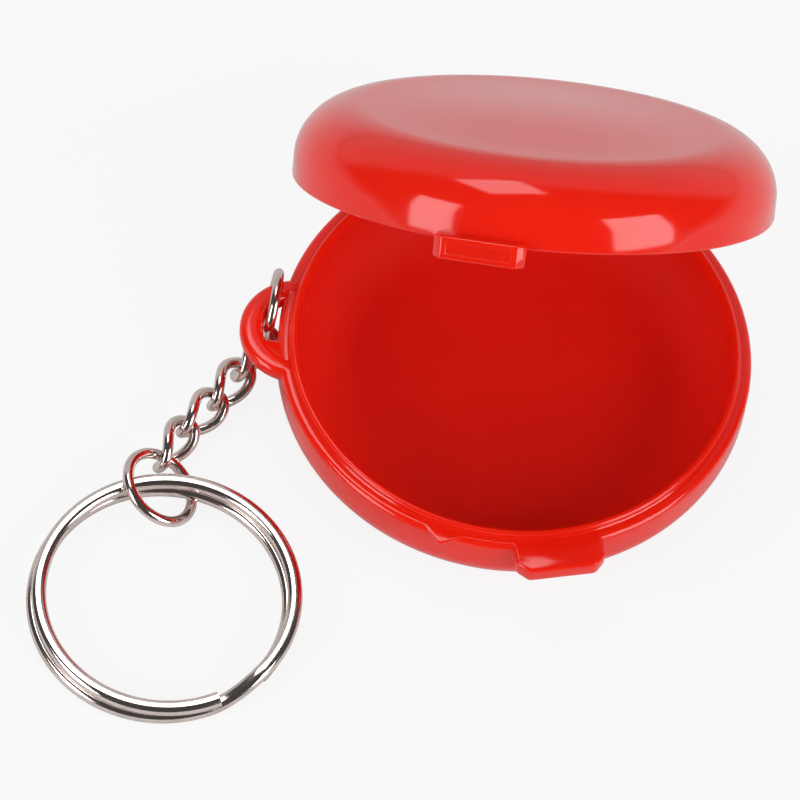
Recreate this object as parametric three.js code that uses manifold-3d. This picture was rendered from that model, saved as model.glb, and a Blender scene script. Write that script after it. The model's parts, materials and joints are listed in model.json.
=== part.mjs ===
// Keychain pill case: a round box of two moulded shells that hinge on a steel pin. A lug on the
// lower shell carries a short curb chain with a split ring. Millimetres, +Z up. The origin is the
// middle of the flat underside; the catch faces -Y, the hinge +Y and the chain lug -X. The lid
// stands open and the chain lies on the table that the case stands on.
import * as THREE from 'three';
import { mergeVertices } from 'three/addons/utils/BufferGeometryUtils.js';
import Module from 'manifold-3d';

const wasm = await Module();
wasm.setup();

// Lower shell
const caseRadius = 25;
const baseHeight = 8.9; // table to the shelf that the lid meets
const baseShoulderReach = 7.2; // how far the bottom shoulder runs in
const baseShoulderHeight = 5.5;
const shelfWidth = 1.25;
const lipThickness = 0.75; // raised lip inside the shelf
const lipHeight = 0.7;
const floorThickness = 1.5;
const bowlRound = 6.5; // round between the inner wall and the floor
const wallDraft = 0.25; // how much the bowl narrows before that round
const edgeRound = 0.25; // broken edges of the mouldings
const weldDepth = 0.3; // how far a lug, tab or ear runs into the wall that it grows from

// Lid shell, sized in its closed place
const rimGap = 0.25; // seam between shelf and lid when closed
const lipClearance = 0.15; // lid wall to lip, radially
const lidSkirtHeight = 2.15;
const lidShoulderReach = 6.5;
const lidShoulderHeight = 6.0;
const lidCrownRise = 0.5;
const lidTopThickness = 1.3;
const lidInnerRound = 5.0;
const lidOpenAngle = 41.7; // degrees from closed, as it stands

// Hinge
const hingeOffset = 0.96; // hinge axis past the case radius
const hingeDrop = 1.15; // hinge axis below the shelf
const pinRadius = 0.6;
const pinClearance = 0.15;
const pinRecess = 0.3; // pin ends inside the ears' outer faces
const knuckleWall = 0.8; // plastic round the pin bore
const lidKnuckleWidth = 8;
const earWidth = 3;
const knuckleGap = 0.3;
const armHeight = 1.9; // lid arm above the shelf

// Catch and thumb ledge, side by side at the front; angles from -Y towards +X
const tabAngle = -13.2;
const tabWidth = 9.3;
const tabProud = 1.5; // past the case radius
const tabBelow = 1.6; // below the lid edge
const tabAbove = 0.75; // above the lid edge
const tabCorner = 0.75;
const tabClearance = 0.4; // tab to the lower shell's wall
const nubAngle = -14.2;
const nubWidth = 4.2; // where it leaves the wall
const nubProud = 0.8;
const nubHeight = 0.5;
const nubClearance = 0.25;
const ledgeAngle = 13.2;
const ledgeRootWidth = 9.4;
const ledgeTipWidth = 7.1;
const ledgeProud = 2.55;
const ledgeStraight = 1.3; // how far its sides run out before they slant in
const ledgeThickness = 2.0;

// Chain lug: a flat round ear level with the shelf, with a slot against the wall
const lugAngle = -90; // from -Y towards +X
const lugRadius = 6.2;
const lugInset = 2.1; // middle of the ear's round inside the case radius
const lugBar = 2.45; // width of the bar round the slot
const lugThickness = 2.0;

// Wire parts
const linkWire = 1.05; // wire diameter
const linkLength = 7.2; // outside
const linkWidth = 4.7;
const linkTwist = -53; // degrees, each end against the middle
const jointGap = 0.12; // between the cut ends of a closed ring
const hookGap = 0.22; // daylight between a piece and the wire that it hooks
const lugRingWire = 1.05;
const lugRingDiameter = 8.5; // outside
const keyRingWire = 1.1;
const keyRingDiameter = 9.2;
const splitRingDiameter = 28.5;
const splitWireWidth = 2.1;
const splitWireHeight = 1.0;
const splitWireCorner = 0.3;
const splitTurnGap = 0.42; // daylight between the two turns
const splitRamp = 26; // degrees over which the wire steps from one turn to the other

// How the chain lies: headings from +X, slopes above level and rolls, in degrees
const lugRingOut = 3.0; // its middle past the middle of the ear's round
const lugRingRearward = 3.8; // and behind it
const lugRingDrop = 2.6; // and below the shelf
const lugRingLean = 6; // its top towards the case
const lugRingTurn = -4; // its plane from the YZ plane
const lugRingHook = 222; // where the first link hangs, from its rear side
const chainLie = 2.52; // middle of the second link above the table
const firstSlack = 0.7; // how much closer than taut the second link lies to the first
const linkSlack = 0.32;
const links = [
  { heading: -125, roll: -79 },
  { heading: -121, slope: -2, roll: -56, slack: firstSlack },
  { heading: -127, slope: 2, roll: -62, slack: linkSlack },
  { heading: -116, slope: -5, roll: -69, slack: linkSlack },
];
const keyRingNormal = [0.65, 0.1, 1]; // it leans on the split ring
const keyRingHook = 82.5; // where the last link holds it, from its right side
const keyRingJoint = 313;
const splitHeading = -83; // key ring to the split ring's middle
const splitSeat = 0.4; // how far the split ring's wire lies behind the key ring's middle
const splitTurn = -35.5; // the split ring turned in its own plane
const splitRingRise = 0.3; // its wire above the key ring's

const caseSegments = 72;
const wireSides = 8;
const linkSteps = 28;
const splitSteps = 48; // for each turn

const rad = THREE.MathUtils.degToRad;
const wallRadius = caseRadius - shelfWidth - lipThickness;
const lipRadius = caseRadius - shelfWidth;
const lugCentre = caseRadius - lugInset;
const hingeReach = caseRadius + hingeOffset;
const hingeHeight = baseHeight - hingeDrop;
const lidEdge = baseHeight + rimGap;
const lidTop = lidEdge + lidSkirtHeight + lidShoulderHeight + lidCrownRise;
const lidInnerRadius = lipRadius + lipClearance;
const boreRadius = pinRadius + pinClearance;
const knuckleRadius = boreRadius + knuckleWall;
const hingeWidth = lidKnuckleWidth + 2 * (knuckleGap + earWidth);

// A closed mesh as a solid, with its shared corners joined
function toSolid(geometry) {
  const bare = geometry.index ? geometry.toNonIndexed() : geometry.clone();
  bare.deleteAttribute('normal');
  bare.deleteAttribute('uv');
  const merged = mergeVertices(bare, 1e-4);
  return new wasm.Manifold(new wasm.Mesh({
    numProp: 3,
    vertProperties: merged.attributes.position.array,
    triVerts: merged.index.array,
  }));
}

function toGeometry(solid) {
  const mesh = solid.getMesh();
  const geometry = new THREE.BufferGeometry();
  geometry.setAttribute('position', new THREE.BufferAttribute(new Float32Array(mesh.vertProperties), 3));
  geometry.setIndex(new THREE.BufferAttribute(new Uint32Array(mesh.triVerts), 1));
  const flat = geometry.toNonIndexed();
  flat.computeVertexNormals();
  return flat;
}

// Points on a quarter or other stretch of an ellipse, angles in degrees
function arc(centreR, centreZ, reachR, reachZ, from, to, steps) {
  const points = [];
  for (let i = 0; i <= steps; i += 1) {
    const angle = rad(from + ((to - from) * i) / steps);
    points.push([centreR + reachR * Math.cos(angle), centreZ + reachZ * Math.sin(angle)]);
  }
  return points;
}

// A solid of revolution about Z from [radius, height] points that start and end on the axis
function revolve(profile) {
  const points = profile.map(([r, z]) => new THREE.Vector2(Math.max(r, 0), z));
  const geometry = new THREE.LatheGeometry(points, caseSegments);
  geometry.rotateX(Math.PI / 2);
  return toSolid(geometry);
}

// Everything inside a radius, between two heights
function core(radius, bottom, top) {
  const geometry = new THREE.CylinderGeometry(radius, radius, top - bottom, caseSegments);
  geometry.rotateX(Math.PI / 2);
  geometry.translate(0, 0, (bottom + top) / 2);
  return toSolid(geometry);
}

// A box from its lowest and highest corners
function block(low, high) {
  const size = high.map((value, axis) => value - low[axis]);
  const geometry = new THREE.BoxGeometry(...size);
  geometry.translate(...low.map((value, axis) => value + size[axis] / 2));
  return toSolid(geometry);
}

// A rod along X about the hinge axis
function hingeRod(radius, fromX, toX, segments = 32) {
  const geometry = new THREE.CylinderGeometry(radius, radius, toX - fromX, segments);
  geometry.rotateZ(Math.PI / 2);
  geometry.translate((fromX + toX) / 2, hingeReach, hingeHeight);
  return toSolid(geometry);
}

// A plate from its outline, between two heights, with its edges broken
function plate(shape, bottom, top, edge) {
  const geometry = new THREE.ExtrudeGeometry(shape, {
    depth: top - bottom - 2 * edge,
    bevelEnabled: edge > 0,
    bevelThickness: edge,
    bevelSize: edge,
    bevelOffset: -edge,
    bevelSegments: 2,
    curveSegments: 24,
  });
  geometry.translate(0, 0, bottom + edge);
  return toSolid(geometry);
}

function polygon(points) {
  return new THREE.Shape(points.map(([x, y]) => new THREE.Vector2(x, y)));
}

function disc(radius) {
  const shape = new THREE.Shape();
  shape.absarc(0, -lugCentre, radius, 0, 2 * Math.PI);
  return shape;
}

// Turns a solid made at the front (-Y) to its angle round the case
function turned(solid, angle) {
  return solid.rotate([0, 0, angle]);
}

function ledgeSolid() {
  const tip = -(caseRadius + ledgeProud);
  const bend = -(caseRadius + ledgeStraight);
  const inside = -(lipRadius + weldDepth);
  const outline = polygon([
    [-ledgeRootWidth / 2, inside],
    [-ledgeRootWidth / 2, bend],
    [-ledgeTipWidth / 2, tip],
    [ledgeTipWidth / 2, tip],
    [ledgeRootWidth / 2, bend],
    [ledgeRootWidth / 2, inside],
  ]);
  return plate(outline, baseHeight - ledgeThickness, baseHeight, edgeRound);
}

function nubSolid() {
  const half = nubWidth / 2;
  const inside = -(caseRadius - 2 * weldDepth);
  const outline = polygon([
    [-half, inside],
    [-half, -caseRadius],
    [0, -(caseRadius + nubProud)],
    [half, -caseRadius],
    [half, inside],
  ]);
  return plate(outline, baseHeight - nubHeight, baseHeight, 0);
}

function lugSolid() {
  const body = plate(disc(lugRadius), baseHeight - lugThickness, baseHeight, edgeRound);
  const slot = plate(disc(lugRadius - lugBar), baseHeight - 2 * lugThickness, baseHeight + lugThickness, 0);
  const wall = core(caseRadius, 0, 2 * baseHeight);
  return body.subtract(slot.subtract(wall));
}

function earSolid(side) {
  const near = side * (lidKnuckleWidth / 2 + knuckleGap);
  const far = side * (hingeWidth / 2);
  const fromX = Math.min(near, far);
  const toX = Math.max(near, far);
  const barrel = hingeRod(knuckleRadius, fromX, toX);
  const web = block(
    [fromX, lipRadius - weldDepth, hingeHeight - knuckleRadius],
    [toX, hingeReach, baseHeight - edgeRound],
  );
  return barrel.add(web);
}

function makeBase() {
  const flatRadius = caseRadius - baseShoulderReach;
  const lipTop = baseHeight + lipHeight;
  const lipRound = lipThickness / 2;
  const bowlWall = wallRadius - wallDraft;
  const profile = [
    [0, 0],
    ...arc(flatRadius, baseShoulderHeight, baseShoulderReach, baseShoulderHeight, -90, 0, 9),
    ...arc(caseRadius - edgeRound, baseHeight - edgeRound, edgeRound, edgeRound, 0, 90, 2),
    [lipRadius, baseHeight],
    ...arc(lipRadius - lipRound, lipTop - lipRound, lipRound, lipRound, 0, 180, 4),
    ...arc(bowlWall - bowlRound, floorThickness + bowlRound, bowlRound, bowlRound, 0, -90, 8),
    [0, floorThickness],
  ];
  const wallCore = core(lipRadius, -baseHeight, 2 * baseHeight);
  const additions = [
    turned(ledgeSolid(), ledgeAngle),
    turned(nubSolid(), nubAngle),
    turned(lugSolid(), lugAngle),
    earSolid(-1),
    earSolid(1),
  ];
  let base = revolve(profile);
  for (const solid of additions) base = base.add(solid.subtract(wallCore));
  const reliefHalf = lidKnuckleWidth / 2 + knuckleGap;
  const relief = hingeRod(knuckleRadius + knuckleGap, -reliefHalf, reliefHalf);
  const bore = hingeRod(boreRadius, -hingeWidth, hingeWidth);
  return base.subtract(relief).subtract(bore);
}

function tabSolid() {
  const half = tabWidth / 2;
  const face = -(caseRadius + tabProud);
  const inside = -(lidInnerRadius + weldDepth);
  const outline = polygon([
    [-half, inside],
    [-half, face + tabCorner],
    [-half + tabCorner, face],
    [half - tabCorner, face],
    [half, face + tabCorner],
    [half, inside],
  ]);
  return turned(plate(outline, lidEdge - tabBelow, lidEdge + tabAbove, edgeRound), tabAngle);
}

// The room that the nub needs behind the tab
function nubPocket() {
  const half = nubWidth / 2 + nubClearance;
  const pocket = block(
    [-half, -(caseRadius + nubProud + nubClearance), baseHeight - nubHeight - nubClearance],
    [half, -lidInnerRadius, lidEdge],
  );
  return turned(pocket, nubAngle);
}

function armSolid() {
  const half = lidKnuckleWidth / 2;
  const back = hingeReach + knuckleRadius;
  const arm = block([-half, lidInnerRadius, hingeHeight], [half, back, baseHeight + armHeight]);
  const wallRoom = core(caseRadius + knuckleGap, 0, lidEdge);
  return arm.subtract(wallRoom).add(hingeRod(knuckleRadius, -half, half));
}

function makeLid() {
  const skirtTop = lidEdge + lidSkirtHeight;
  const shoulderTop = skirtTop + lidShoulderHeight;
  const flatRadius = caseRadius - lidShoulderReach;
  const ceiling = lidTop - lidTopThickness;
  const crownSteps = 4;
  const crown = [];
  for (let i = crownSteps - 1; i >= 0; i -= 1) {
    const share = i / crownSteps;
    crown.push([flatRadius * share, shoulderTop + lidCrownRise * (1 - share * share)]);
  }
  const profile = [
    [0, ceiling],
    ...arc(
      lidInnerRadius - lidInnerRound, ceiling - lidInnerRound, lidInnerRound, lidInnerRound, 90, 0, 6,
    ),
    [lidInnerRadius, lidEdge],
    ...arc(caseRadius - edgeRound, lidEdge + edgeRound, edgeRound, edgeRound, -90, 0, 2),
    ...arc(flatRadius, skirtTop, lidShoulderReach, lidShoulderHeight, 0, 90, 10),
    ...crown,
  ];
  const cavity = core(lidInnerRadius, 0, skirtTop);
  const wallRoom = core(caseRadius + tabClearance, 0, lidEdge);
  const tab = tabSolid().subtract(cavity).subtract(wallRoom).subtract(nubPocket());
  const arm = armSolid().subtract(cavity);
  const bore = hingeRod(boreRadius, -lidKnuckleWidth, lidKnuckleWidth);
  return revolve(profile).add(tab).add(arm).subtract(bore);
}

function makePin() {
  const half = hingeWidth / 2 - pinRecess;
  return hingeRod(pinRadius, -half, half, 24);
}

// A wire with the given section, swept along a curve
function sweep(curve, section, steps) {
  const geometry = new THREE.ExtrudeGeometry(new THREE.Shape(section), {
    steps,
    bevelEnabled: false,
    extrudePath: curve,
  });
  return toSolid(geometry);
}

function roundSection(radius) {
  const points = [];
  for (let i = 0; i < wireSides; i += 1) {
    const angle = (2 * Math.PI * i) / wireSides;
    points.push(new THREE.Vector2(radius * Math.cos(angle), radius * Math.sin(angle)));
  }
  return points;
}

// The middle line of an oval link along X, twisted about X, open by a small cut in one side
class LinkCurve extends THREE.Curve {
  constructor(length, width, twist) {
    super();
    this.halfLength = length / 2;
    this.halfWidth = width / 2;
    this.twist = rad(twist);
    this.cut = jointGap / (Math.PI * (this.halfLength + this.halfWidth));
  }

  getPoint(t, target = new THREE.Vector3()) {
    const angle = -Math.PI / 2 + 2 * Math.PI * (this.cut / 2 + t * (1 - this.cut));
    const along = Math.cos(angle);
    const across = this.halfWidth * Math.sin(angle);
    const roll = this.twist * along;
    return target.set(this.halfLength * along, across * Math.cos(roll), across * Math.sin(roll));
  }
}

// The middle line of a split ring: one turn low, a short ramp, and one turn high
class SplitRingCurve extends THREE.Curve {
  getPoint(t, target = new THREE.Vector3()) {
    const radius = (splitRingDiameter - splitWireWidth) / 2;
    const degrees = t * (720 - splitRamp);
    const climb = THREE.MathUtils.smoothstep(degrees, 360 - splitRamp, 360);
    const height = splitWireHeight / 2 + climb * (splitWireHeight + splitTurnGap);
    return target.set(radius * Math.cos(rad(degrees)), radius * Math.sin(rad(degrees)), height);
  }
}

// Least distance between two turns of a coil's middle line, less the wire's height
function leastTurnGap(curve, samples) {
  const points = curve.getPoints(samples);
  const turn = Math.round((samples * 300) / (720 - splitRamp));
  let least = Infinity;
  for (let i = 0; i < points.length; i += 1) {
    for (let j = i + turn; j < points.length; j += 1) {
      least = Math.min(least, points[i].distanceTo(points[j]));
    }
  }
  return least - splitWireHeight;
}

function makeLink() {
  const curve = new LinkCurve(linkLength - linkWire, linkWidth - linkWire, linkTwist);
  return sweep(curve, roundSection(linkWire / 2), linkSteps);
}

function makeRing(outside, wire) {
  const curve = new LinkCurve(outside - wire, outside - wire, 0);
  return sweep(curve, roundSection(wire / 2), linkSteps);
}

function makeSplitRing() {
  const curve = new SplitRingCurve();
  const halfHeight = splitWireHeight / 2;
  const halfWidth = splitWireWidth / 2;
  const section = [
    [-halfHeight, halfWidth - splitWireCorner],
    [-halfHeight, -halfWidth + splitWireCorner],
    [-halfHeight + splitWireCorner, -halfWidth],
    [halfHeight - splitWireCorner, -halfWidth],
    [halfHeight, -halfWidth + splitWireCorner],
    [halfHeight, halfWidth - splitWireCorner],
    [halfHeight - splitWireCorner, halfWidth],
    [-halfHeight + splitWireCorner, halfWidth],
  ].map(([x, y]) => new THREE.Vector2(x, y));
  console.log(`split ring: least gap between turns ${leastTurnGap(curve, 600).toFixed(2)} mm`);
  return sweep(curve, section, 2 * splitSteps);
}

const plastic = { color: 0xd9150c, roughness: 0.22, metalness: 0.0 };
const nickel = { color: 0xc9c6c2, roughness: 0.18, metalness: 1.0 };

function named(name, solid, finish) {
  const mesh = new THREE.Mesh(toGeometry(solid), new THREE.MeshStandardMaterial(finish));
  mesh.name = name;
  return mesh;
}

// A unit vector from its heading round +Z and its slope above level
function heading(degrees, slope = 0) {
  const level = Math.cos(rad(slope));
  return new THREE.Vector3(
    level * Math.cos(rad(degrees)),
    level * Math.sin(rad(degrees)),
    Math.sin(rad(slope)),
  );
}

// Places a piece made about its own middle: its X and Z axes along two square directions
function place(mesh, middle, along, normal) {
  const side = normal.clone().cross(along);
  mesh.setRotationFromMatrix(new THREE.Matrix4().makeBasis(along, side, normal));
  mesh.position.copy(middle);
  return mesh;
}

// A point on a ring's middle line, from its middle, the two axes of its plane and an angle
function onRing(middle, right, rear, radius, degrees) {
  return middle.clone()
    .addScaledVector(right, radius * Math.cos(rad(degrees)))
    .addScaledVector(rear, radius * Math.sin(rad(degrees)));
}

const pillCase = new THREE.Group();
pillCase.add(named('base_shell', makeBase(), plastic));
pillCase.add(named('hinge_pin', makePin(), nickel));

const lidHinge = new THREE.Group();
lidHinge.position.set(0, hingeReach, hingeHeight);
lidHinge.rotation.x = -rad(lidOpenAngle);
const lid = named('lid_shell', makeLid(), plastic);
lid.position.set(0, -hingeReach, -hingeHeight);
lidHinge.add(lid);
pillCase.add(lidHinge);

// Lug ring, upright in the slot and round the lug's rear end
const lugRingRear = heading(90 + lugRingTurn);
const lugRingUp = heading(lugRingTurn, 90 - lugRingLean);
const lugRingNormal = lugRingRear.clone().cross(lugRingUp);
const lugRingCentre = new THREE.Vector3(
  -(lugCentre + lugRingOut),
  lugRingRearward,
  baseHeight - lugRingDrop,
);
const lugRing = named('lug_jump_ring', makeRing(lugRingDiameter, lugRingWire), nickel);
pillCase.add(place(lugRing, lugRingCentre, lugRingRear, lugRingNormal));

// The first link slopes down from the lug ring, so that the second lies at its height
const lugRingReach = (lugRingDiameter - lugRingWire) / 2;
const lugHook = onRing(lugRingCentre, lugRingRear, lugRingUp, lugRingReach, lugRingHook);
const tautPitch = linkLength - 2 * linkWire;
const hookReach = linkLength / 2 - linkWire - lugRingWire / 2 - hookGap;
const secondStep = (tautPitch - links[1].slack) / 2;
const firstDrop = chainLie - lugHook.z - secondStep * Math.sin(rad(links[1].slope));
const firstSlope = THREE.MathUtils.radToDeg(Math.asin(firstDrop / (hookReach + secondStep)));

// Links, each from the one before it
let linkDirection = heading(links[0].heading, firstSlope);
let linkMiddle = lugHook.clone().addScaledVector(linkDirection, hookReach);
links.forEach((lie, i) => {
  const direction = i > 0 ? heading(lie.heading, lie.slope) : linkDirection;
  if (i > 0) {
    const pitch = tautPitch - lie.slack;
    const stepped = linkDirection.clone().add(direction).multiplyScalar(pitch / 2);
    linkMiddle = linkMiddle.clone().add(stepped);
  }
  const level = new THREE.Vector3(0, 0, 1).cross(direction).normalize();
  const normal = direction.clone().cross(level).applyAxisAngle(direction, rad(lie.roll));
  const link = named(`chain_link_${i + 1}`, makeLink(), nickel);
  pillCase.add(place(link, linkMiddle, direction, normal));
  linkDirection = direction;
});

// Key ring, through the last link and round the split ring's wire
const keyRingUp = new THREE.Vector3(...keyRingNormal).normalize();
const keyRingRight = new THREE.Vector3(0, 1, 0).cross(keyRingUp).normalize();
const keyRingRear = keyRingUp.clone().cross(keyRingRight);
const keyRingReach = (keyRingDiameter - keyRingWire) / 2;
const keyHold = linkMiddle.clone()
  .addScaledVector(linkDirection, linkLength / 2 - linkWire - keyRingWire / 2 - hookGap);
const keyRingCentre = onRing(keyHold, keyRingRight, keyRingRear, -keyRingReach, keyRingHook);
const keyRingAlong = onRing(new THREE.Vector3(), keyRingRight, keyRingRear, 1, keyRingJoint + 90);
const keyRing = named('key_jump_ring', makeRing(keyRingDiameter, keyRingWire), nickel);
pillCase.add(place(keyRing, keyRingCentre, keyRingAlong, keyRingUp));

// Split ring, its rear raised on the key ring's wire
const splitReach = (splitRingDiameter - splitWireWidth) / 2;
const splitTilt = Math.asin((keyRingWire + splitRingRise) / (splitReach + splitRingDiameter / 2));
const splitMiddle = keyRingCentre.clone().addScaledVector(heading(splitHeading), splitReach - splitSeat);
splitMiddle.z = (splitRingDiameter / 2) * Math.sin(splitTilt);
const splitRing = named('split_ring', makeSplitRing(), nickel);
splitRing.position.copy(splitMiddle);
splitRing.rotation.set(splitTilt, 0, rad(splitTurn));
pillCase.add(splitRing);

export default pillCase;
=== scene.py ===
# Keychain pill case: a red two-shell box with its lid standing open, a short curb chain and a
# split ring, on a pale table under three soft boxes.
import json
import math

import bpy
import numpy as np
from mathutils import Matrix, Vector


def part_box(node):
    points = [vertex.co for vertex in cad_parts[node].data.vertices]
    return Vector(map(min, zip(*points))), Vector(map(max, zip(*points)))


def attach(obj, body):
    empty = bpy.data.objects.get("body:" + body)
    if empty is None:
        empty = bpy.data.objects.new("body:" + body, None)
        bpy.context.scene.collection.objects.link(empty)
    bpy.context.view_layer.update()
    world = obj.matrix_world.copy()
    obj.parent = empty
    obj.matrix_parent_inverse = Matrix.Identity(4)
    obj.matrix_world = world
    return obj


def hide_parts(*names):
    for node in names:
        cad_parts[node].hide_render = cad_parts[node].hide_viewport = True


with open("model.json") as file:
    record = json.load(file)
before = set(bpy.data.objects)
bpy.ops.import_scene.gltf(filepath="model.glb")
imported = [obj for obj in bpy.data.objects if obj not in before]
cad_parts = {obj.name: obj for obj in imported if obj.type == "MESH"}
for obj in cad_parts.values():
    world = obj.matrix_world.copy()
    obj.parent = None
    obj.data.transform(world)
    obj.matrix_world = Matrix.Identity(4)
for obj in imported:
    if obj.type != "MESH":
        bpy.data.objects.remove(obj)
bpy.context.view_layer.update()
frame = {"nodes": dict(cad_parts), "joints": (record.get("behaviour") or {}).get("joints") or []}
print("frame loaded:", len(frame["nodes"]), "nodes")

mm = 0.001
joints = {joint["name"]: joint for joint in frame["joints"]}
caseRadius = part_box("base_shell")[1].x / mm
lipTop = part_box("base_shell")[1].z / mm
hingeReach = joints["lid_hinge"]["pos_m"][1] / mm
hingeHeight = joints["lid_hinge"]["pos_m"][2] / mm
openAngle = -joints["lid_hinge"]["range_deg"][0]

# distances in mm that all the pieces share
tiny = 0.01  # two ends that lie this near each other count as level
skin = 0.05  # how far a cut keeps under a surface, and a marked point may lie off it
mergeReach = 0.002  # points closer than this become one


# Small helpers round the operators

def makeActive(obj):
    bpy.ops.object.select_all(action="DESELECT")
    obj.select_set(True)
    bpy.context.view_layer.objects.active = obj


def editMode():
    bpy.ops.object.mode_set(mode="EDIT")


def objectMode():
    bpy.ops.object.mode_set(mode="OBJECT")


def newPiece(name):
    piece = bpy.context.object
    piece.name = name
    piece.data.name = name
    return piece


def applyPlace(obj):
    makeActive(obj)
    bpy.ops.object.transform_apply(location=True, rotation=True, scale=True)


def addModifier(obj, kind, **settings):
    makeActive(obj)
    bpy.ops.object.modifier_add(type=kind)
    modifier = obj.modifiers[-1]
    for key, value in settings.items():
        setattr(modifier, key, value)
    bpy.ops.object.modifier_apply(modifier=modifier.name)


def mergeClose(obj):
    makeActive(obj)
    editMode()
    bpy.ops.mesh.select_all(action="SELECT")
    bpy.ops.mesh.remove_doubles(threshold=mergeReach * mm)


def combine(obj, other, operation):
    # points that fall together are merged, or the next cut leaves loose walls inside
    addModifier(obj, "BOOLEAN", object=other, operation=operation, solver="EXACT")
    bpy.data.objects.remove(other)
    mergeClose(obj)
    objectMode()


def pickEdges(obj, wanted):
    # goes into edit mode with the edges selected whose two ends, in mm, pass the test
    makeActive(obj)
    editMode()
    bpy.ops.mesh.select_mode(type="EDGE")
    bpy.ops.mesh.select_all(action="DESELECT")
    objectMode()
    for edge in obj.data.edges:
        a, b = (obj.data.vertices[i].co / mm for i in edge.vertices)
        edge.select = wanted(a, b)
    editMode()


def sameX(a, b):
    return abs(a.x - b.x) < tiny


def smooth(obj, degrees=32):
    mergeClose(obj)
    bpy.ops.mesh.normals_make_consistent(inside=False)
    objectMode()
    bpy.ops.object.shade_smooth_by_angle(angle=math.radians(degrees))


def arc(centreR, centreZ, reachR, reachZ, start, end, steps):
    # radius and height pairs along a stretch of an ellipse
    turns = [math.radians(start + (end - start) * i / steps) for i in range(steps + 1)]
    return [(centreR + reachR * math.cos(a), centreZ + reachZ * math.sin(a)) for a in turns]


def turnedBody(name, profile, segments):
    # a filled circle extruded and scaled from station to station
    radius, height = profile[0]
    bpy.ops.mesh.primitive_circle_add(
        vertices=segments, radius=radius * mm, fill_type="NGON", location=(0, 0, height * mm)
    )
    body = newPiece(name)
    applyPlace(body)
    editMode()
    bpy.ops.mesh.select_all(action="SELECT")
    for nextRadius, nextHeight in profile[1:]:
        bpy.ops.mesh.extrude_region_move(
            TRANSFORM_OT_translate={"value": (0, 0, (nextHeight - height) * mm)}
        )
        grow = nextRadius / radius
        bpy.ops.transform.resize(value=(grow, grow, 1), center_override=(0, 0, nextHeight * mm))
        radius, height = nextRadius, nextHeight
    bpy.ops.mesh.select_all(action="SELECT")
    bpy.ops.mesh.normals_make_consistent(inside=False)
    objectMode()
    return body


def drum(radius, bottom, top, segments=160):
    # a plain cutter for everything inside a radius
    bpy.ops.mesh.primitive_cylinder_add(
        vertices=segments, radius=radius * mm, depth=(top - bottom) * mm,
        location=(0, 0, (top + bottom) / 2 * mm),
    )
    cutter = newPiece("cutter")
    applyPlace(cutter)
    return cutter


def rodAlongX(name, radius, fromX, toX, segments=64):
    bpy.ops.mesh.primitive_cylinder_add(
        vertices=segments, radius=radius * mm, depth=(toX - fromX) * mm,
        location=((fromX + toX) / 2 * mm, hingeReach * mm, hingeHeight * mm),
        rotation=(0, math.pi / 2, 0),
    )
    rod = newPiece(name)
    applyPlace(rod)
    return rod


def slab(name, low, high):
    # a cube stretched between two corners
    middle = [(a + b) / 2 * mm for a, b in zip(low, high)]
    bpy.ops.mesh.primitive_cube_add(size=1, location=middle)
    piece = newPiece(name)
    piece.scale = [(b - a) * mm for a, b in zip(low, high)]
    applyPlace(piece)
    return piece


def bevelPicked(offset, segments):
    bpy.ops.mesh.bevel(offset=offset * mm, segments=segments, affect="EDGES", profile=0.5)
    objectMode()


def turnRound(obj, degrees):
    # turns a piece made at the front, -Y, to its angle towards +X
    obj.rotation_euler = (0, 0, math.radians(degrees))
    applyPlace(obj)


def hingeBarrel(fromX, toX):
    # a knuckle with both rims eased
    barrel = rodAlongX("barrel", hingeParts["knuckle"], fromX, toX)
    pickEdges(barrel, sameX)
    bevelPicked(hingeParts["round"], segments=3)
    return barrel


def roundWeb(web):
    # eases the two sides that run back from the shell, and a top edge behind the pin
    top = max(vertex.co.z for vertex in web.data.vertices) / mm

    def eased(a, b):
        behind = min(a.y, b.y) > hingeReach + tiny
        return max(a.z, b.z) > top - tiny and (behind or sameX(a, b))

    pickEdges(web, eased)
    bevelPicked(hingeParts["webRound"], segments=4)


# Base shell: lengths in mm and angles in degrees, as for every piece

baseShell = {
    "segments": 216,
    "lipHeight": 0.7,
    "lipThickness": 0.75,
    "lipFoot": 0.12,
    "shelfWidth": 1.25,
    "shoulderReach": 7.2,
    "shoulderHeight": 5.5,
    "floorThickness": 1.5,
    "floorRings": (9.0, 2.0),
    "bowlRound": 6.5,
    "wallDraft": 0.25,
    "edgeRound": 0.65,
}
thumbLedge = {
    "angle": 13.2, "width": 9.4, "proud": 2.55, "thickness": 2.0, "corner": 1.2, "round": 0.42,
    "root": 21.0,
}
catchNub = {
    "angle": -14.8, "width": 4.8, "proud": 0.9, "height": 0.5, "round": 0.14,
    "root": 0.8, "tipShare": 0.08,
}
chainLug = {
    "radius": 6.2, "inset": 2.1, "bar": 2.45, "thickness": 2.0, "round": 0.8, "roundSteps": 7,
    "segments": 120, "seamMerge": 0.003,
    "slotFill": (-3.8, -1.7), "slotFillReach": 4.2, "slotFillInset": 0.15, "slotFillRound": 0.5,
}
hingeParts = {
    "pin": 0.6, "pinRecess": 0.3, "pinRound": 0.12, "bore": 0.75, "boreHalf": 9.0,
    "knuckle": 1.55, "round": 0.22, "lidWidth": 8.0, "gap": 0.3, "webRound": 0.3,
    "earWidth": 3.0, "earRoot": 0.6, "earDrop": 0.97, "earBelowShelf": 0.25,
    "armRoot": 1.0, "armHeight": 1.9,
}
shelf = lipTop - baseShell["lipHeight"]
lipRadius = caseRadius - baseShell["shelfWidth"]


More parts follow.
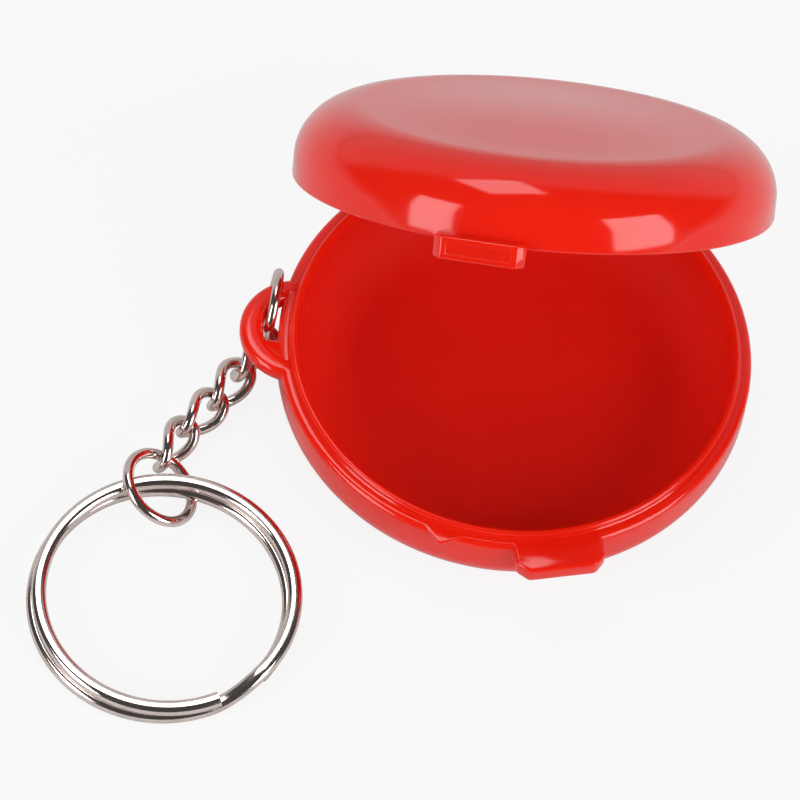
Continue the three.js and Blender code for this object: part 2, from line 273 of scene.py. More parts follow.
def baseProfile():
    b = baseShell
    foot = caseRadius - b["shoulderReach"]
    wall = lipRadius - b["lipThickness"] - b["wallDraft"]
    lipRound = b["lipThickness"] / 2
    edge = b["edgeRound"]
    bowl = b["bowlRound"]
    floor = b["floorThickness"]
    return [
        *arc(foot, b["shoulderHeight"], b["shoulderReach"], b["shoulderHeight"], -90, 0, steps=20),
        *arc(caseRadius - edge, shelf - edge, edge, edge, 0, 90, steps=5),
        (lipRadius + b["lipFoot"], shelf),
        (lipRadius, shelf + b["lipFoot"]),
        *arc(lipRadius - lipRound, lipTop - lipRound, lipRound, lipRound, 0, 180, steps=12),
        *arc(wall - bowl, floor + bowl, bowl, bowl, 0, -90, steps=20),
        *((radius, floor) for radius in b["floorRings"]),
    ]


def insideBase(radius, height):
    b = baseShell
    wall = lipRadius - b["lipThickness"] - b["wallDraft"]
    beyond = min(max(0, radius - (wall - b["bowlRound"])), b["bowlRound"])
    rise = b["bowlRound"] - math.sqrt(b["bowlRound"] ** 2 - beyond ** 2)
    return radius < wall + skin and height > b["floorThickness"] + rise - skin


def uprightAt(front):
    # picks the upright edges of a slab's front face
    def wanted(a, b):
        return sameX(a, b) and max(a.y, b.y) < front + tiny and abs(a.z - b.z) > tiny
    return wanted


def makeLedge():
    led = thumbLedge
    tip = -(caseRadius + led["proud"])
    half = led["width"] / 2
    ledge = slab("ledge", (-half, tip, shelf - led["thickness"]), (half, -led["root"], shelf))
    pickEdges(ledge, uprightAt(tip))
    bevelPicked(led["corner"], segments=1)
    pickEdges(ledge, lambda a, b: min(a.y, b.y) < -led["root"] - tiny)
    bevelPicked(led["round"], segments=5)
    turnRound(ledge, led["angle"])
    return ledge


def makeNub():
    nub = catchNub
    half = nub["width"] / 2
    face = -(caseRadius + nub["proud"])
    root = -(caseRadius - nub["root"])
    piece = slab("nub", (-half, face, shelf - nub["height"]), (half, root, shelf))
    pickEdges(piece, uprightAt(face))
    bpy.ops.transform.resize(value=(nub["tipShare"], 1, 1), center_override=(0, 0, 0))
    objectMode()
    pickEdges(piece, lambda a, b: min(a.y, b.y) < face + tiny)
    bevelPicked(nub["round"], segments=3)
    turnRound(piece, nub["angle"])
    return piece


def makeLug():
    lug = chainLug
    middle = caseRadius - lug["inset"]
    ringRadius = lug["radius"] - lug["bar"] / 2
    bpy.ops.mesh.primitive_plane_add(
        size=1, rotation=(math.pi / 2, 0, 0),
        location=((-middle - ringRadius) * mm, 0, (shelf - lug["thickness"] / 2) * mm),
    )
    piece = newPiece("lug")
    piece.scale = (lug["bar"] * mm, lug["thickness"] * mm, 1)
    applyPlace(piece)
    editMode()
    bpy.ops.mesh.select_all(action="SELECT")
    bpy.ops.mesh.bevel(
        offset=lug["round"] * mm, segments=lug["roundSteps"], affect="VERTICES"
    )
    bpy.ops.mesh.select_all(action="SELECT")
    bpy.ops.mesh.delete(type="ONLY_FACE")
    bpy.ops.mesh.select_all(action="SELECT")
    bpy.ops.mesh.spin(
        steps=lug["segments"], angle=math.tau, center=(-middle * mm, 0, 0), axis=(0, 0, 1)
    )
    bpy.ops.mesh.select_all(action="SELECT")
    bpy.ops.mesh.remove_doubles(threshold=lug["seamMerge"] * mm)
    bpy.ops.mesh.normals_make_consistent(inside=False)
    objectMode()
    # the front end of the slot is filled, so that the ring keeps to its rear half
    front, back = lug["slotFill"]
    inset = lug["slotFillInset"]
    web = slab(
        "web",
        (-middle - lug["slotFillReach"], front, shelf - lug["thickness"] + inset),
        (-middle, back, shelf - inset),
    )
    pickEdges(web, lambda a, b: max(a.y, b.y) > back - tiny and not sameX(a, b))
    bevelPicked(lug["slotFillRound"], segments=5)
    combine(piece, web, "UNION")
    return piece


def makeEar(side):
    h = hingeParts
    near = side * (h["lidWidth"] / 2 + h["gap"])
    far = near + side * h["earWidth"]
    fromX, toX = sorted((near, far))
    ear = hingeBarrel(fromX, toX)
    web = slab(
        "web",
        (fromX, lipRadius - h["earRoot"], hingeHeight - h["earDrop"] * h["knuckle"]),
        (toX, hingeReach, shelf - h["earBelowShelf"]),
    )
    roundWeb(web)
    combine(ear, web, "UNION")
    return ear


def makeBaseShell():
    h = hingeParts
    base = turnedBody("caseBase", baseProfile(), baseShell["segments"])
    for part in (makeLedge(), makeNub(), makeLug(), makeEar(-1), makeEar(1)):
        combine(part, drum(lipRadius + skin, bottom=-5, top=20), "DIFFERENCE")
        combine(base, part, "UNION")
    half = h["lidWidth"] / 2 + h["gap"]
    combine(base, rodAlongX("relief", h["knuckle"] + h["gap"], -half, half), "DIFFERENCE")
    combine(base, rodAlongX("bore", h["bore"], -h["boreHalf"], h["boreHalf"]), "DIFFERENCE")
    smooth(base)
    return base


# Lid shell, modelled closed and then swung open about the hinge

lidShell = {
    "segments": 216,
    "seam": 0.25,
    "lipClearance": 0.15,
    "skirtHeight": 2.15,
    "shoulderReach": 6.5,
    "shoulderHeight": 6.0,
    "crownRise": 0.5,
    "crownShares": (0.96, 0.91, 0.85, 0.77, 0.68, 0.58, 0.47, 0.36, 0.24, 0.12, 0.05),
    "topThickness": 1.3,
    "ceilingRings": (4.0, 10.0),
    "innerRound": 5.0,
    "rimChamfer": 0.15,
    "edgeRound": 0.3,
}
catchTab = {
    "angle": -13.2, "width": 9.3, "proud": 1.5, "below": 1.6, "above": 0.75, "corner": 0.75,
    "round": 0.22, "root": 22.0, "clearance": 0.4, "nubRoom": 0.25,
    "frame": 0.32, "frameSlope": 0.12, "panelDepth": 0.14,
}
lidEdge = shelf + lidShell["seam"]
innerRadius = lipRadius + lidShell["lipClearance"]


def lidProfile():
    p = lidShell
    skirtTop = lidEdge + p["skirtHeight"]
    shoulderTop = skirtTop + p["shoulderHeight"]
    top = shoulderTop + p["crownRise"]
    ceiling = top - p["topThickness"]
    flat = caseRadius - p["shoulderReach"]
    inner, edge, rim = p["innerRound"], p["edgeRound"], p["rimChamfer"]
    crown = [
        (flat * share, shoulderTop + p["crownRise"] * (1 - share * share) ** 2)
        for share in p["crownShares"]
    ]
    return [
        *((radius, ceiling) for radius in p["ceilingRings"]),
        *arc(innerRadius - inner, ceiling - inner, inner, inner, 90, 0, steps=16),
        (innerRadius, lidEdge + rim),
        (innerRadius + rim, lidEdge),
        *arc(caseRadius - edge, lidEdge + edge, edge, edge, -90, 0, steps=4),
        *arc(flat, skirtTop, p["shoulderReach"], p["shoulderHeight"], 0, 90, steps=26),
        *crown,
    ]


def sinkPanel(tab, face, t):
    # the shallow panel inside the tab's raised frame
    makeActive(tab)
    editMode()
    bpy.ops.mesh.select_mode(type="FACE")
    bpy.ops.mesh.select_all(action="DESELECT")
    objectMode()
    for polygon in tab.data.polygons:
        polygon.select = all(
            tab.data.vertices[i].co.y / mm < face + tiny for i in polygon.vertices
        )
    editMode()
    bpy.ops.mesh.inset(thickness=t["frame"] * mm, depth=0)
    bpy.ops.mesh.inset(thickness=t["frameSlope"] * mm, depth=-t["panelDepth"] * mm)
    objectMode()


def makeTab():
    t = catchTab
    half = t["width"] / 2
    face = -(caseRadius + t["proud"])
    root = -t["root"]
    tab = slab("tab", (-half, face, lidEdge - t["below"]), (half, root, lidEdge + t["above"]))
    pickEdges(tab, uprightAt(face))
    bevelPicked(t["corner"], segments=1)
    pickEdges(tab, lambda a, b: min(a.y, b.y) < root - tiny)
    bevelPicked(t["round"], segments=4)
    sinkPanel(tab, face, t)
    turnRound(tab, t["angle"])
    combine(tab, drum(innerRadius + skin, bottom=0, top=30), "DIFFERENCE")
    combine(tab, drum(caseRadius + t["clearance"], bottom=0, top=lidEdge), "DIFFERENCE")
    room = t["nubRoom"]
    nubHalf = catchNub["width"] / 2 + room
    pocket = slab(
        "pocket",
        (-nubHalf, -(caseRadius + catchNub["proud"] + room), shelf - catchNub["height"] - room),
        (nubHalf, -innerRadius, lidEdge),
    )
    turnRound(pocket, catchNub["angle"])
    combine(tab, pocket, "DIFFERENCE")
    return tab


def makeArm():
    h = hingeParts
    half = h["lidWidth"] / 2
    arm = slab(
        "arm",
        (-half, innerRadius - h["armRoot"], hingeHeight),
        (half, hingeReach + h["knuckle"], shelf + h["armHeight"]),
    )
    roundWeb(arm)
    combine(arm, hingeBarrel(-half, half), "UNION")
    combine(arm, drum(caseRadius + h["gap"], bottom=0, top=lidEdge), "DIFFERENCE")
    combine(arm, drum(innerRadius + skin, bottom=0, top=30), "DIFFERENCE")
    return arm


def swungOpen(degrees):
    hinge = Vector((0, hingeReach * mm, hingeHeight * mm))
    swing = Matrix.Rotation(-math.radians(degrees), 4, "X")
    return Matrix.Translation(hinge) @ swing @ Matrix.Translation(-hinge)


def insideLid(radius, height):
    p = lidShell
    ceiling = lidEdge + p["skirtHeight"] + p["shoulderHeight"] + p["crownRise"] - p["topThickness"]
    beyond = min(max(0, radius - (innerRadius - p["innerRound"])), p["innerRound"])
    drop = p["innerRound"] - math.sqrt(p["innerRound"] ** 2 - beyond ** 2)
    return radius < innerRadius + skin and height < ceiling - drop + skin


def makeLidShell():
    h = hingeParts
    lid = turnedBody("caseLid", lidProfile(), lidShell["segments"])
    combine(lid, makeTab(), "UNION")
    combine(lid, makeArm(), "UNION")
    combine(lid, rodAlongX("bore", h["bore"], -h["boreHalf"], h["boreHalf"]), "DIFFERENCE")
    lid.matrix_world = swungOpen(openAngle)
    applyPlace(lid)
    smooth(lid)
    return lid


def makePin():
    h = hingeParts
    half = h["lidWidth"] / 2 + h["gap"] + h["earWidth"] - h["pinRecess"]
    pin = rodAlongX("hingePin", h["pin"], -half, half, segments=48)
    pickEdges(pin, sameX)
    bevelPicked(h["pinRound"], segments=3)
    smooth(pin)
    return pin


# Wire pieces: each is modelled flat about the origin and then laid where its node lies

wires = {
    "link": {"wire": 1.12, "length": 7.32, "width": 4.83, "twist": -53, "bendSteps": 20},
    "lugRing": {"wire": 1.08, "length": 8.5, "width": 8.5, "twist": 0, "bendSteps": 24},
    "keyRing": {"wire": 1.14, "length": 9.2, "width": 9.2, "twist": 0, "bendSteps": 24},
    "cut": 0.12, "sectionSteps": 7, "smoothAngle": 50,
}
splitWire = {
    "outside": 28.5, "width": 1.56, "height": 1.36, "pitch": 1.34, "spread": 0.27, "spreadWay": 205,
    "lift": 0.14, "corner": 0.6, "cornerSteps": 7,
    "ramp": 26, "start": -35.5, "turnSteps": 150, "rampSteps": 14,
}


def restPlace(node):
    # middle and axes of a wire node, from its points: longest way, second way, thinnest way
    mesh = frame["nodes"][node].data
    points = np.array([tuple(v.co) for v in mesh.vertices])
    mean = points.mean(0)
    axes = np.linalg.svd(points - mean, full_matrices=False)[2]
    axes[2] = np.cross(axes[0], axes[1])
    spread = (points - mean) @ axes.T
    middle = mean + ((spread.min(0) + spread.max(0)) / 2) @ axes
    return Vector(middle), [Vector(axis) for axis in axes], Vector(mean)


def wireLoop(name, size):
    # a centre line bent to an oval, twisted along its length, then given its round wire
    bpy.ops.curve.primitive_bezier_circle_add(radius=0.5 * mm, rotation=(0, 0, math.pi / 2))
    loop = newPiece(name)
    applyPlace(loop)
    loop.scale = (size["length"] - size["wire"], size["width"] - size["wire"], 1)
    applyPlace(loop)
    loop.data.resolution_u = size["bendSteps"]
    if size["twist"]:
        makeActive(loop)
        bpy.ops.object.convert(target="MESH")
        addModifier(
            loop, "SIMPLE_DEFORM", deform_method="TWIST", deform_axis="X",
            angle=math.radians(2 * size["twist"]),
        )
        bpy.ops.object.convert(target="CURVE")
    # applying a scale also changes how thick each point makes the wire
    for spline in loop.data.splines:
        for point in (*spline.bezier_points, *spline.points):
            point.radius = 1
    around = math.pi * (size["length"] + size["width"]) / 2
    data = loop.data
    data.bevel_depth = size["wire"] / 2 * mm
    data.bevel_resolution = wires["sectionSteps"]
    data.use_fill_caps = True
    data.bevel_factor_mapping_start = "SPLINE"
    data.bevel_factor_mapping_end = "SPLINE"
    data.bevel_factor_start = wires["cut"] / 2 / around
    data.bevel_factor_end = 1 - wires["cut"] / 2 / around
    makeActive(loop)
    bpy.ops.object.convert(target="MESH")
    return loop


def layDown(piece, middle, axes):
    piece.matrix_world = Matrix.Translation(middle) @ Matrix(axes).transposed().to_4x4()
    applyPlace(piece)
    smooth(piece, wires["smoothAngle"])
    return piece


def layLink(name, node):
    middle, axes, _ = restPlace(node)
    return layDown(wireLoop(name, wires["link"]), middle, axes)


def layRing(name, node, size):
    # a round ring's cut lies on the side where its node's points are densest
    middle, axes, mean = restPlace(node)
    normal = axes[2]
    cutWay = (mean - middle).normalized()
    cutWay = (cutWay - normal * cutWay.dot(normal)).normalized()
    along = normal.cross(cutWay)
    return layDown(wireLoop(name, size), middle, (along, normal.cross(along), normal))


def makeSplitRing():
    # one turn low, a short climb, one turn high, each about its own middle, because the two
    # turns of the real ring lie a little apart; the spin operator turns clockwise here
    s = splitWire
    radius = (s["outside"] - s["width"]) / 2 - s["spread"]
    apart = math.radians(s["spreadWay"] - s["start"])
    lowMiddle = Vector((math.cos(apart), math.sin(apart), 0)) * s["spread"] * mm
    bottom = s["lift"] - (s["height"] + s["pitch"]) / 2
    bpy.ops.mesh.primitive_plane_add(
        size=1, rotation=(math.pi / 2, 0, 0),
        location=lowMiddle + Vector((radius, 0, bottom + s["height"] / 2)) * mm,
    )
    ring = newPiece("splitRing")
    ring.scale = (s["width"] * mm, s["height"] * mm, 1)
    applyPlace(ring)
    editMode()
    bpy.ops.mesh.select_all(action="SELECT")
    bpy.ops.mesh.bevel(offset=s["corner"] * mm, segments=s["cornerSteps"], affect="VERTICES")
    bpy.ops.mesh.select_all(action="SELECT")
    flatTurn = -math.radians(360 - s["ramp"])
    bpy.ops.mesh.spin(
        steps=s["turnSteps"], angle=flatTurn, center=lowMiddle, axis=(0, 0, 1)
    )
    climb = -2 * lowMiddle + Vector((0, 0, s["pitch"] * mm))
    done = 0
    for i in range(1, s["rampSteps"] + 1):
        share = i / s["rampSteps"]
        eased = share * share * (3 - 2 * share)
        bpy.ops.mesh.extrude_region_move(
            TRANSFORM_OT_translate={"value": climb * (eased - done)}
        )
        bpy.ops.transform.rotate(
            value=-math.radians(s["ramp"] / s["rampSteps"]), orient_axis="Z",
            center_override=lowMiddle * (1 - 2 * eased),
        )
        done = eased
    bpy.ops.mesh.spin(
        steps=s["turnSteps"], angle=flatTurn, center=-lowMiddle, axis=(0, 0, 1)
    )
    bpy.ops.mesh.select_all(action="SELECT")
    bpy.ops.mesh.normals_make_consistent(inside=False)
    objectMode()
    middle, axes, _ = restPlace("split_ring")
    normal = axes[2] if axes[2].z > 0 else -axes[2]
    start = math.radians(s["start"])
    along = Vector((math.cos(start), math.sin(start), 0))
    along = (along - normal * along.dot(normal)).normalized()
    return layDown(ring, middle, (along, normal.cross(along), normal))


# Materials

# the inside colour below darkens the inner surfaces of both shells: a painted shade, not a tone of
# the plastic
redPlastic = {
    "detail": {
        "Body": (0.90, 0.016, 0.004, 1), "Flow": (0.84, 0.012, 0.003, 1), "Gloss": 0.09,
        "Inside Gloss": 0.7, "Inside Painted Shade": (0.88, 0.65, 0.5, 1), "Grain": 0.4,
    },
    "bump": {"Strength": 0.25, "Distance": 0.02 * mm},
    "shader": {
        "Coat Roughness": 0.1, "Specular IOR Level": 0.2, "IOR": 1.5, "Subsurface Weight": 0.3,
        "Subsurface Radius": (1.0, 0.12, 0.06), "Subsurface Scale": 0.0015,
    },
}
nickelWire = {
    "detail": {"Metal": (0.85, 0.75, 0.71, 1), "Stain": (0.58, 0.48, 0.44, 1), "Gloss": 0.09},
    "bump": {"Strength": 0.12, "Distance": 0.01 * mm},
    "shader": {"Metallic": 1.0},
}
steelPin = {
    "detail": {"Metal": (0.56, 0.56, 0.55, 1), "Stain": (0.36, 0.34, 0.32, 1), "Gloss": 0.22},
    "bump": {"Strength": 0.3, "Distance": 0.015 * mm},
    "shader": {"Metallic": 1.0},
}
mouldedPattern = {
    "cloudScale": 55, "cloudRange": (0.35, 0.68), "cloudColour": 0.7, "cloudHeight": 0.6,
    "streakScale": (260, 60, 60), "streakTurn": (0, 0, 0.5), "streakColour": 0.3,
    "grainScale": 2600, "grainRoughness": 0.04,
    "scuffScale": (1500, 90, 200), "scuffTurn": (0, 0, 0.9), "scuffRange": (0.62, 0.75),
    "scuffRoughness": 0.06, "scuffPolish": 0.09, "outsidePolish": 0.58,
}
platedPattern = {
    "cloudScale": 420, "cloudRange": (0.45, 0.72), "cloudColour": 0.5, "cloudRoughness": 0.07,
    "fineScale": 2400, "fineRoughness": 0.03, "drawScale": (500, 500, 4200),
}


def newGroup(name, inputs, outputs):
    # a group whose inputs start at the given values; of its outputs only Color is a colour
    group = bpy.data.node_groups.new(name, "ShaderNodeTree")
    for label, value in inputs.items():
        kind = "NodeSocketColor" if isinstance(value, tuple) else "NodeSocketFloat"
        socket = group.interface.new_socket(label, in_out="INPUT", socket_type=kind)
        socket.default_value = value
    for label in outputs:
        kind = "NodeSocketColor" if label == "Color" else "NodeSocketFloat"
        group.interface.new_socket(label, in_out="OUTPUT", socket_type=kind)
    return group, group.nodes.new("NodeGroupInput"), group.nodes.new("NodeGroupOutput")


def setInputs(node, values):
    for label, value in values.items():
        node.inputs[label].default_value = value


def linkOutputs(group, end, **values):
    for label, value in values.items():
        group.links.new(value, end.inputs[label])


def addNode(tree, kind, **settings):
    node = tree.nodes.new(kind)
    for key, value in settings.items():
        setattr(node, key, value)
    return node


def noise(tree, vector, scale, detail=3.0, roughness=0.5):
    node = addNode(tree, "ShaderNodeTexNoise")
    setInputs(node, {"Scale": scale, "Detail": detail, "Roughness": roughness})
    tree.links.new(vector, node.inputs["Vector"])
    return node.outputs["Fac"]


def remap(tree, value, fromLow, fromHigh, toLow=0.0, toHigh=1.0, soft=False):
    node = addNode(tree, "ShaderNodeMapRange")
    node.interpolation_type = "SMOOTHSTEP" if soft else "LINEAR"
    tree.links.new(value, node.inputs["Value"])
    setInputs(
        node, {"From Min": fromLow, "From Max": fromHigh, "To Min": toLow, "To Max": toHigh}
    )
    return node.outputs["Result"]


def mathNode(tree, operation, a, b):
    node = addNode(tree, "ShaderNodeMath", operation=operation)
    for socket, value in zip(node.inputs, (a, b)):
        if isinstance(value, (int, float)):
            socket.default_value = value
        else:
            tree.links.new(value, socket)
    return node.outputs["Value"]


def times(tree, a, b):
    return mathNode(tree, "MULTIPLY", a, b)


def plus(tree, a, b):
    return mathNode(tree, "ADD", a, b)


def mixColours(tree, factor, a, b, blend="MIX"):
    node = addNode(tree, "ShaderNodeMix", data_type="RGBA", blend_type=blend)
    tree.links.new(factor, node.inputs["Factor"])
    for socket, value in ((node.inputs[6], a), (node.inputs[7], b)):
        if isinstance(value, tuple):
            socket.default_value = value
        else:
            tree.links.new(value, socket)
    return node.outputs[2]


def stretched(tree, vector, scale, turn=(0, 0, 0)):
    node = addNode(tree, "ShaderNodeMapping")
    setInputs(node, {"Scale": scale, "Rotation": turn})
    tree.links.new(vector, node.inputs["Vector"])
    return node.outputs["Vector"]


def makeMouldedGroup():
    p = mouldedPattern
    group, start, end = newGroup(
        "mouldedDetail", redPlastic["detail"], ("Color", "Roughness", "Height", "Polish")
    )
    given = start.outputs
    where = addNode(group, "ShaderNodeTexCoord").outputs["Object"]
    flowing = stretched(group, where, p["streakScale"], p["streakTurn"])
    rubbed = stretched(group, where, p["scuffScale"], p["scuffTurn"])
    cloud = noise(group, where, p["cloudScale"], detail=4, roughness=0.55)
    cloud = remap(group, cloud, *p["cloudRange"])
    streak = noise(group, flowing, 1.0, detail=3, roughness=0.6)
    grain = noise(group, where, p["grainScale"], detail=2, roughness=0.6)
    scuff = remap(group, noise(group, rubbed, 1.0, detail=2), *p["scuffRange"])
    mark = addNode(
        group, "ShaderNodeAttribute", attribute_name="inside", attribute_type="GEOMETRY"
    )
    inside = mark.outputs["Fac"]
    mixed = plus(
        group, times(group, cloud, p["cloudColour"]), times(group, streak, p["streakColour"])
    )
    colour = mixColours(group, mixed, given["Body"], given["Flow"])
    # the moulding tool is polished outside and left satin inside; the inner surfaces also get a
    # darker colour, a painted shade for the hollows under the lid
    paintedShadeColour = mixColours(group, inside, colour, given["Inside Painted Shade"], "MULTIPLY")
    gloss = addNode(group, "ShaderNodeMix", data_type="FLOAT")
    group.links.new(inside, gloss.inputs["Factor"])
    group.links.new(given["Gloss"], gloss.inputs[2])
    group.links.new(given["Inside Gloss"], gloss.inputs[3])
    rough = plus(group, gloss.outputs[0], times(group, grain, p["grainRoughness"]))
    rough = plus(group, rough, times(group, scuff, p["scuffRoughness"]))
    polish = times(group, mathNode(group, "SUBTRACT", 1.0, inside), p["outsidePolish"])
    worn = mathNode(group, "SUBTRACT", 1.0, times(group, scuff, p["scuffPolish"]))
    bumps = times(group, grain, given["Grain"])
    bumps = plus(group, bumps, times(group, cloud, p["cloudHeight"]))
    linkOutputs(
        group, end, Color=paintedShadeColour, Roughness=rough, Height=bumps, Polish=times(group, polish, worn)
    )
    return group


def makePlatedGroup():
    p = platedPattern
    group, start, end = newGroup(
        "platedDetail", nickelWire["detail"], ("Color", "Roughness", "Height")
    )
    given = start.outputs
    where = addNode(group, "ShaderNodeTexCoord").outputs["Object"]
    drawn = stretched(group, where, p["drawScale"])
    cloud = noise(group, where, p["cloudScale"], detail=3, roughness=0.6)
    cloud = remap(group, cloud, *p["cloudRange"])
    fine = noise(group, where, p["fineScale"], detail=3, roughness=0.6)
    draw = noise(group, drawn, 1.0, detail=2, roughness=0.5)
    stained = times(group, cloud, p["cloudColour"])
    colour = mixColours(group, stained, given["Metal"], given["Stain"])
    rough = plus(group, given["Gloss"], times(group, cloud, p["cloudRoughness"]))
    rough = plus(group, rough, times(group, fine, p["fineRoughness"]))
    linkOutputs(group, end, Color=colour, Roughness=rough, Height=plus(group, fine, draw))
    return group


def makeMaterial(name, group, look):
    material = bpy.data.materials.new(name)
    material.use_nodes = True
    tree = material.node_tree
    shader = tree.nodes["Principled BSDF"]
    detail = addNode(tree, "ShaderNodeGroup", node_tree=group)
    bump = addNode(tree, "ShaderNodeBump")
    setInputs(detail, look["detail"])
    setInputs(bump, look["bump"])
    setInputs(shader, look["shader"])
    fedBy = {
        "Color": shader.inputs["Base Color"], "Roughness": shader.inputs["Roughness"],
        "Height": bump.inputs["Height"], "Polish": shader.inputs["Coat Weight"],
    }
    for output in detail.outputs:
        tree.links.new(output, fedBy[output.name])
    tree.links.new(bump.outputs["Normal"], shader.inputs["Normal"])
    return material


# Table, light and camera

studio = {  # lengths in metres
    "tableSize": 3.0,
    "tableColour": (0.70, 0.70, 0.70, 1),
    "tableRoughness": 0.9,
    "tableSpecular": 0.1,
    "cameraWhite": 0.87,
    "glossyWhite": 0.1,
    "aim": (0.0, -0.007, 0.043),
    "boxes": {
        "softBoxLeft": {
            "way": (-0.765, -0.50, 0.408), "lean": (0.09, 0.625, 0.775),
            "size": (0.31, 0.60), "radiance": 4.7,
        },
        "softBoxRight": {
            "way": (0.782, -0.481, 0.417), "lean": (-0.235, 0.585, 0.776),
            "size": (0.44, 0.60), "radiance": 4.7,
        },
        "softBoxTop": {
            "way": (-0.21, 0.345, 0.915), "lean": (-0.397, 0.918, -0.437),
            "size": (0.35, 0.34), "radiance": 3.6,
        },
    },
    "boxDistance": 0.8,
    "horizon": 0.38,
    "horizonRamp": (-0.08, 0.14),
    "backWall": 0.47,
    "backWallRamp": (0.36, 0.6),
    "wallTopRamp": (0.8, 0.97),
    "ceiling": 0.06,
    "fill": 0.3,
}
viewpoint = {  # in mm, apart from nearest and furthest
    "place": (-24.265, -315.730, 484.894),
    "ahead": (0.02212, 0.54268, -0.83965),
    "right": (0.99597, 0.06104, 0.06569),
    "lens": 244.45,
    "sensor": 36.0,
    "nearest": 0.01,
    "furthest": 20.0,
}


def makeTable():
    # a pale table, near white to the camera and a little lifted in gloss, with its shadow kept
    bpy.ops.mesh.primitive_plane_add(size=studio["tableSize"])
    table = newPiece("paleTable")
    material = bpy.data.materials.new("paleTable")
    material.use_nodes = True
    tree = material.node_tree
    shader = tree.nodes["Principled BSDF"]
    setInputs(shader, {
        "Base Color": studio["tableColour"], "Roughness": studio["tableRoughness"],
        "Specular IOR Level": studio["tableSpecular"],
    })
    white = addNode(tree, "ShaderNodeEmission")
    mix = addNode(tree, "ShaderNodeMixShader")
    ray = addNode(tree, "ShaderNodeLightPath").outputs
    reflected = mathNode(tree, "MAXIMUM", ray["Is Glossy Ray"], ray["Is Transmission Ray"])
    reflected = times(tree, reflected, studio["glossyWhite"])
    seen = times(tree, ray["Is Camera Ray"], studio["cameraWhite"])
    tree.links.new(mathNode(tree, "MAXIMUM", seen, reflected), mix.inputs["Fac"])
    tree.links.new(shader.outputs["BSDF"], mix.inputs[1])
    tree.links.new(white.outputs["Emission"], mix.inputs[2])
    tree.links.new(mix.outputs["Shader"], tree.nodes["Material Output"].inputs["Surface"])
    table.data.materials.append(material)


def makeLights():
    aim = Vector(studio["aim"])
    for name, box in studio["boxes"].items():
        way, lean = Vector(box["way"]).normalized(), Vector(box["lean"])
        side = lean.cross(way).normalized()
        turn = Matrix((side, way.cross(side), way)).transposed().to_4x4()
        bpy.ops.object.light_add(type="AREA")
        lamp = bpy.context.object
        lamp.name = name
        lamp.matrix_world = Matrix.Translation(aim + way * studio["boxDistance"]) @ turn
        lamp.data.shape = "RECTANGLE"
        lamp.data.size, lamp.data.size_y = box["size"]
        lamp.data.energy = box["radiance"] * math.pi * box["size"][0] * box["size"][1]


def makeWorld():
    # what gloss shows: a grey horizon, a wall behind and a dark ceiling; matt surfaces get an
    # even fill, and the camera sees white
    world = bpy.data.worlds.new("studioRoom")
    bpy.context.scene.world = world
    world.use_nodes = True
    tree = world.node_tree
    background = tree.nodes["Background"]
    where = addNode(tree, "ShaderNodeTexCoord").outputs["Generated"]
    split = addNode(tree, "ShaderNodeSeparateXYZ")
    tree.links.new(where, split.inputs["Vector"])
    back, up = split.outputs["Y"], split.outputs["Z"]
    low = remap(tree, up, *studio["horizonRamp"], studio["horizon"], 0.0, soft=True)
    behind = remap(tree, back, *studio["backWallRamp"], 0.0, studio["backWall"], soft=True)
    height = remap(tree, up, *studio["wallTopRamp"], 1.0, 0.0, soft=True)
    wall = mathNode(tree, "MAXIMUM", low, times(tree, behind, height))
    room = plus(tree, wall, studio["ceiling"])
    ray = addNode(tree, "ShaderNodeLightPath").outputs
    matt = mathNode(tree, "SUBTRACT", 1.0, ray["Is Glossy Ray"])
    filled = mathNode(tree, "MAXIMUM", room, times(tree, matt, studio["fill"]))
    seen = mathNode(tree, "MAXIMUM", filled, ray["Is Camera Ray"])
    tree.links.new(seen, background.inputs["Color"])


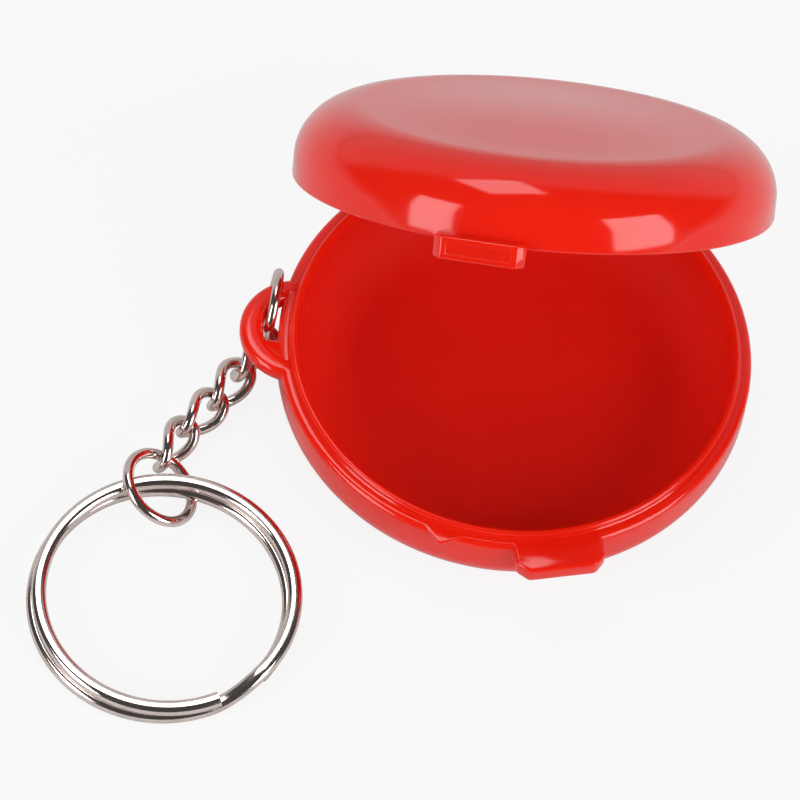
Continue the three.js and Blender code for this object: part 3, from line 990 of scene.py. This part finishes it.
def makeCamera():
    v = viewpoint
    ahead, right = Vector(v["ahead"]), Vector(v["right"])
    up = right.cross(ahead)
    turn = Matrix((right, up, -ahead)).transposed().to_4x4()
    bpy.ops.object.camera_add()
    camera = bpy.context.object
    camera.matrix_world = Matrix.Translation(Vector(v["place"]) * mm) @ turn
    camera.data.lens = v["lens"]
    camera.data.sensor_width = v["sensor"]
    camera.data.clip_start = v["nearest"]
    camera.data.clip_end = v["furthest"]
    bpy.context.scene.camera = camera


# Putting it together

def markInside(shell, reach, toClosed):
    # one value for each point: 1 on the inner surfaces, 0 outside
    attribute = shell.data.attributes.new("inside", "FLOAT", "POINT")
    values = []
    for vertex in shell.data.vertices:
        place = (toClosed @ vertex.co) / mm
        radius = math.hypot(place.x, place.y)
        values.append(1.0 if reach(radius, place.z) else 0.0)
    attribute.data.foreach_set("value", values)


def finishPiece(piece, body, node, material):
    piece.data.materials.clear()
    piece.data.materials.append(material)
    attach(piece, body)
    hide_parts(node)


moulded, plated = makeMouldedGroup(), makePlatedGroup()
plastic = makeMaterial("redMouldedPlastic", moulded, redPlastic)
nickel = makeMaterial("brightNickelWire", plated, nickelWire)
steel = makeMaterial("drawnSteelPin", plated, steelPin)
print("materials ready")
caseBase = makeBaseShell()
markInside(caseBase, insideBase, Matrix())
finishPiece(caseBase, "case", "base_shell", plastic)
print("base shell ready")
caseLid = makeLidShell()
markInside(caseLid, insideLid, swungOpen(openAngle).inverted())
finishPiece(caseLid, "lid", "lid_shell", plastic)
print("lid shell ready")
finishPiece(makePin(), "case", "hinge_pin", steel)
lugRing = layRing("lugJumpRing", "lug_jump_ring", wires["lugRing"])
finishPiece(lugRing, "lug_ring", "lug_jump_ring", nickel)
for number in range(1, 5):
    node = f"chain_link_{number}"
    link = layLink(f"chainLink{number}", node)
    finishPiece(link, f"link_{number}", node, nickel)
keyRing = layRing("keyJumpRing", "key_jump_ring", wires["keyRing"])
finishPiece(keyRing, "key_ring", "key_jump_ring", nickel)
finishPiece(makeSplitRing(), "split_ring", "split_ring", nickel)
print("wire pieces ready")

makeTable()
makeLights()
makeWorld()
makeCamera()
bpy.context.scene.view_settings.view_transform = "Standard"
print("studio ready")
